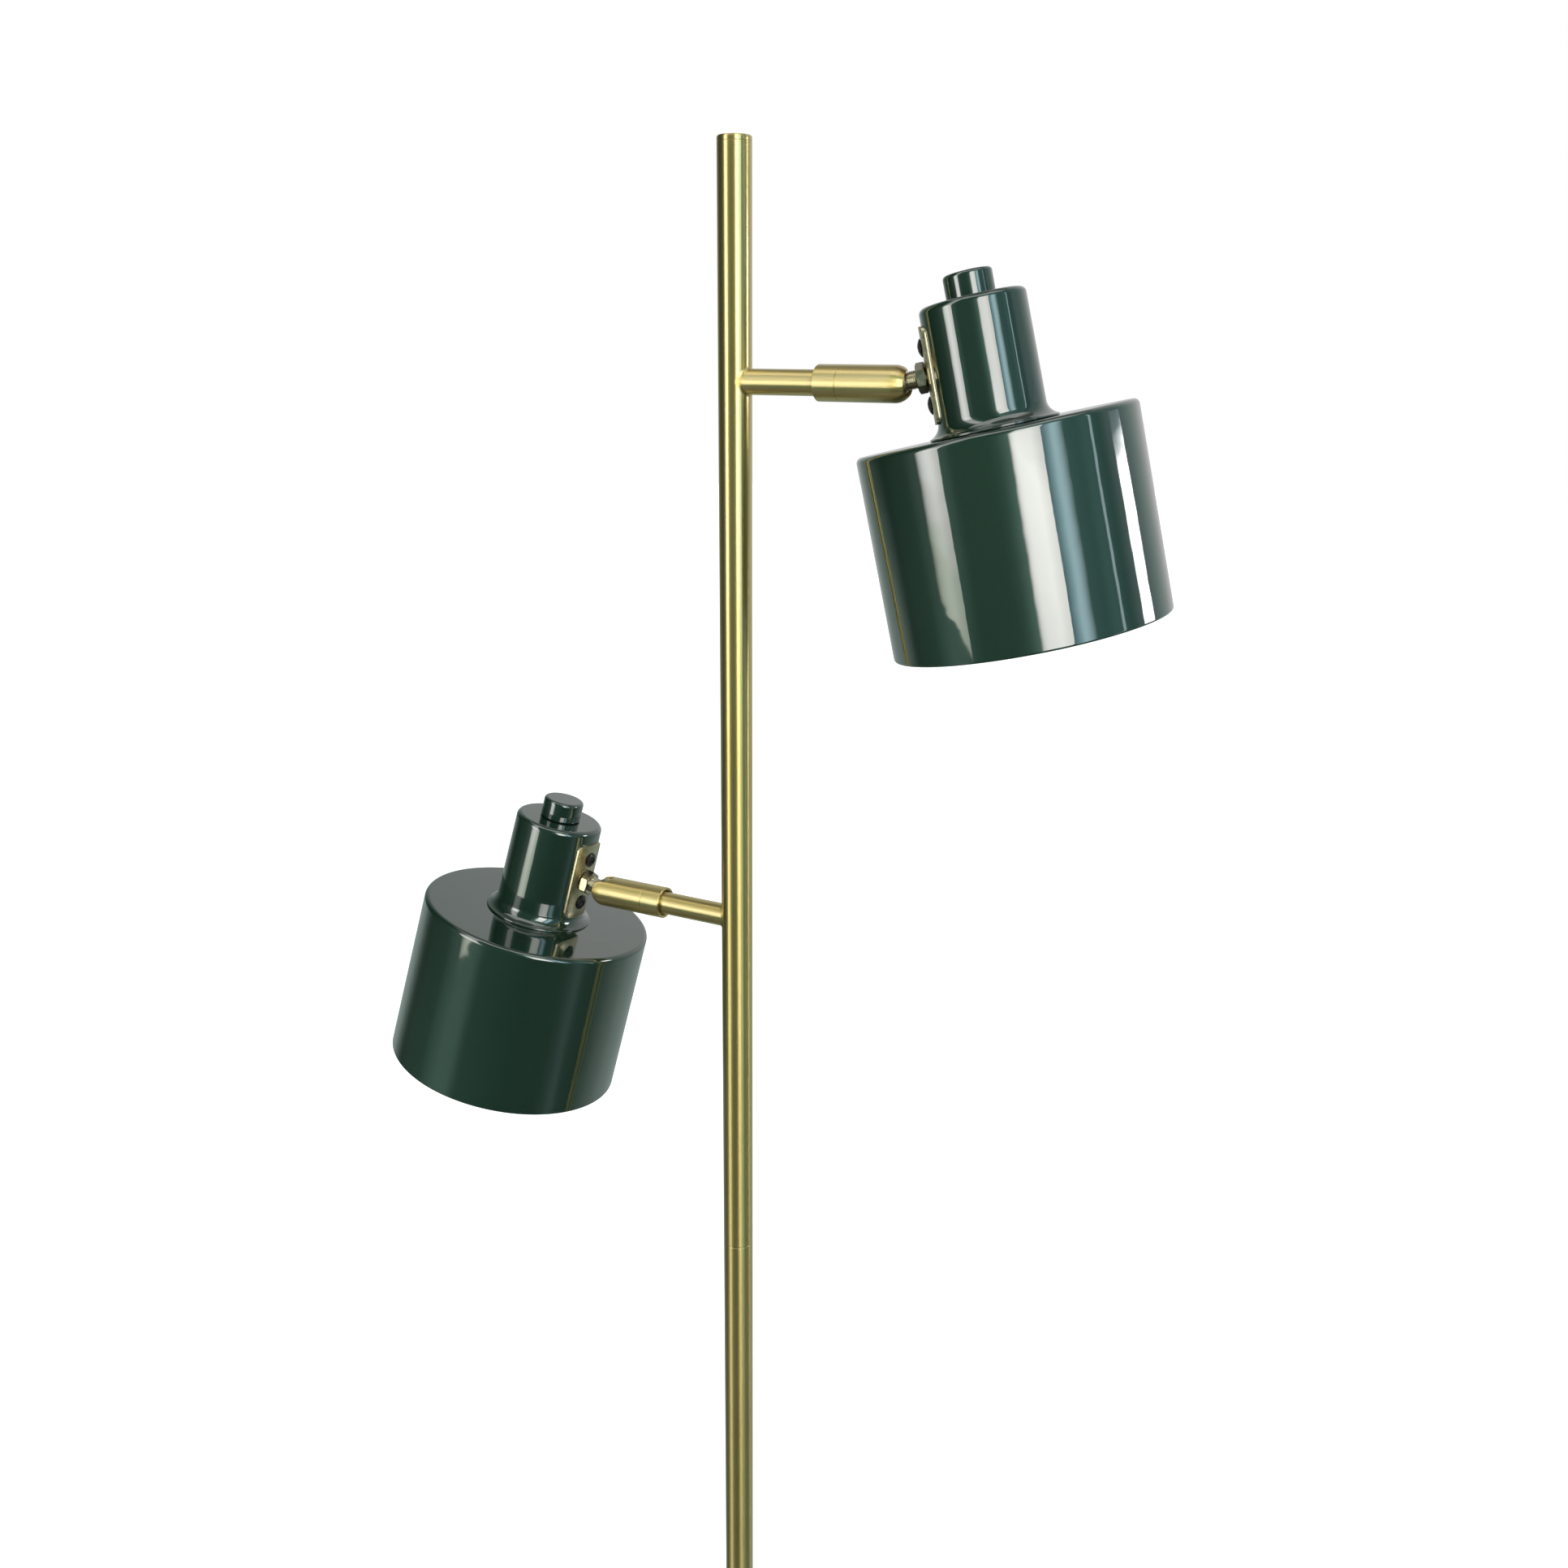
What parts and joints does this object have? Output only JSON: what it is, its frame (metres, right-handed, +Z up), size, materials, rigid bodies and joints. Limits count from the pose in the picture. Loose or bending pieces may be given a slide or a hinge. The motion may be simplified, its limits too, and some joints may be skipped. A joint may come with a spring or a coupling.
{
  "type": "two-light floor lamp",
  "caption": "Free-standing floor lamp: a weighted round base, a thin pole and short side arms with ball swivels that carry drum shades, each with a round neck and a rotary switch.",
  "frame": {"origin": "on the floor, under the middle of the pole, which is the middle of the base pad's underside", "axes": "+Z up along the pole, +X along the upper arm away from the pole, the lower arm along -X; the cable bush is at the back, at +Y"},
  "size_m": [0.4904, 0.2552, 1.3614],
  "materials": {
    "antique_brass": "satin",
    "green_lacquer": "gloss",
    "black_steel": "satin",
    "zinc_steel": "satin",
    "cast_iron": "matte",
    "black_rubber": "matte",
    "black_plastic": "matte",
    "nylon": "matte",
    "contact_brass": "satin"
  },
  "bodies": {
    "stand": {"base_cover": "antique_brass", "base_weight": "cast_iron", "base_pad": "black_rubber", "base_nipple": "zinc_steel", "base_washer": "zinc_steel", "base_nut": "zinc_steel", "cable_bush": "black_rubber", "lower_pole": "antique_brass", "pole_foot": "zinc_steel", "joint_bush": "zinc_steel", "joint_stud": "zinc_steel", "upper_pole": "antique_brass", "pole_cap": "antique_brass", "upper_arm": "antique_brass", "upper_flange": "zinc_steel", "lower_arm": "antique_brass", "lower_flange": "zinc_steel"},
    "upper_swivel": {"upper_collar": "antique_brass", "upper_cup": "antique_brass", "upper_seat": "nylon"},
    "upper_joint_ball": {"upper_ball": "zinc_steel"},
    "upper_head": {"upper_stem": "zinc_steel", "upper_stem_nuts": "zinc_steel", "upper_plate": "antique_brass", "upper_plate_screws": "black_steel", "upper_neck": "green_lacquer", "upper_shade": "green_lacquer", "upper_bracket": "zinc_steel", "upper_holder_screw": "zinc_steel", "upper_holder": "black_plastic", "upper_screw_shell": "contact_brass", "upper_contact": "contact_brass", "upper_shade_ring": "black_plastic", "upper_switch": "black_plastic", "upper_switch_nut": "zinc_steel"},
    "upper_switch_knob": {"upper_switch_shaft": "zinc_steel", "upper_knob": "green_lacquer"},
    "lower_swivel": {"lower_collar": "antique_brass", "lower_cup": "antique_brass", "lower_seat": "nylon"},
    "lower_joint_ball": {"lower_ball": "zinc_steel"},
    "lower_head": {"lower_stem": "zinc_steel", "lower_stem_nuts": "zinc_steel", "lower_plate": "antique_brass", "lower_plate_screws": "black_steel", "lower_neck": "green_lacquer", "lower_shade": "green_lacquer", "lower_bracket": "zinc_steel", "lower_holder_screw": "zinc_steel", "lower_holder": "black_plastic", "lower_screw_shell": "contact_brass", "lower_contact": "contact_brass", "lower_shade_ring": "black_plastic", "lower_switch": "black_plastic", "lower_switch_nut": "zinc_steel"},
    "lower_switch_knob": {"lower_switch_shaft": "zinc_steel", "lower_knob": "green_lacquer"}
  },
  "joints": [
    {"name": "upper_turn", "type": "hinge", "parent": "stand", "child": "upper_swivel", "pos_m": [0.0971, 0, 1.2354], "axis": [1, 0, 0], "range_deg": [-106.6, 213.4]},
    {"name": "upper_tilt", "type": "hinge", "parent": "upper_swivel", "child": "upper_joint_ball", "pos_m": [0.0971, 0, 1.2354], "axis": [0, -0.5962, 0.8028], "range_deg": [-32.1, 65.9]},
    {"name": "upper_spin", "type": "hinge", "parent": "upper_joint_ball", "child": "upper_head", "pos_m": [0.0971, 0, 1.2354], "axis": [0.9265, 0.302, 0.2243], "range_deg": [-143.9, 36.1]},
    {"name": "upper_switch_turn", "type": "hinge", "parent": "upper_head", "child": "upper_switch_knob", "pos_m": [0.13191, 0.01241, 1.28175], "axis": [-0.2217, -0.0435, 0.9742], "continuous": true},
    {"name": "lower_turn", "type": "hinge", "parent": "stand", "child": "lower_swivel", "pos_m": [-0.0971, 0, 0.9174], "axis": [-1, 0, 0], "range_deg": [-160, 160]},
    {"name": "lower_tilt", "type": "hinge", "parent": "lower_swivel", "child": "lower_joint_ball", "pos_m": [-0.0971, 0, 0.9174], "axis": [0, 1, 0], "range_deg": [-22.4, 75.6]},
    {"name": "lower_spin", "type": "hinge", "parent": "lower_joint_ball", "child": "lower_head", "pos_m": [-0.0971, 0, 0.9174], "axis": [-0.9767, 0, 0.2147], "range_deg": [-97.7, 82.3]},
    {"name": "lower_switch_turn", "type": "hinge", "parent": "lower_head", "child": "lower_switch_knob", "pos_m": [-0.13456, 0.00494, 0.96308], "axis": [0.2128, 0.134, 0.9679], "continuous": true}
  ]
}
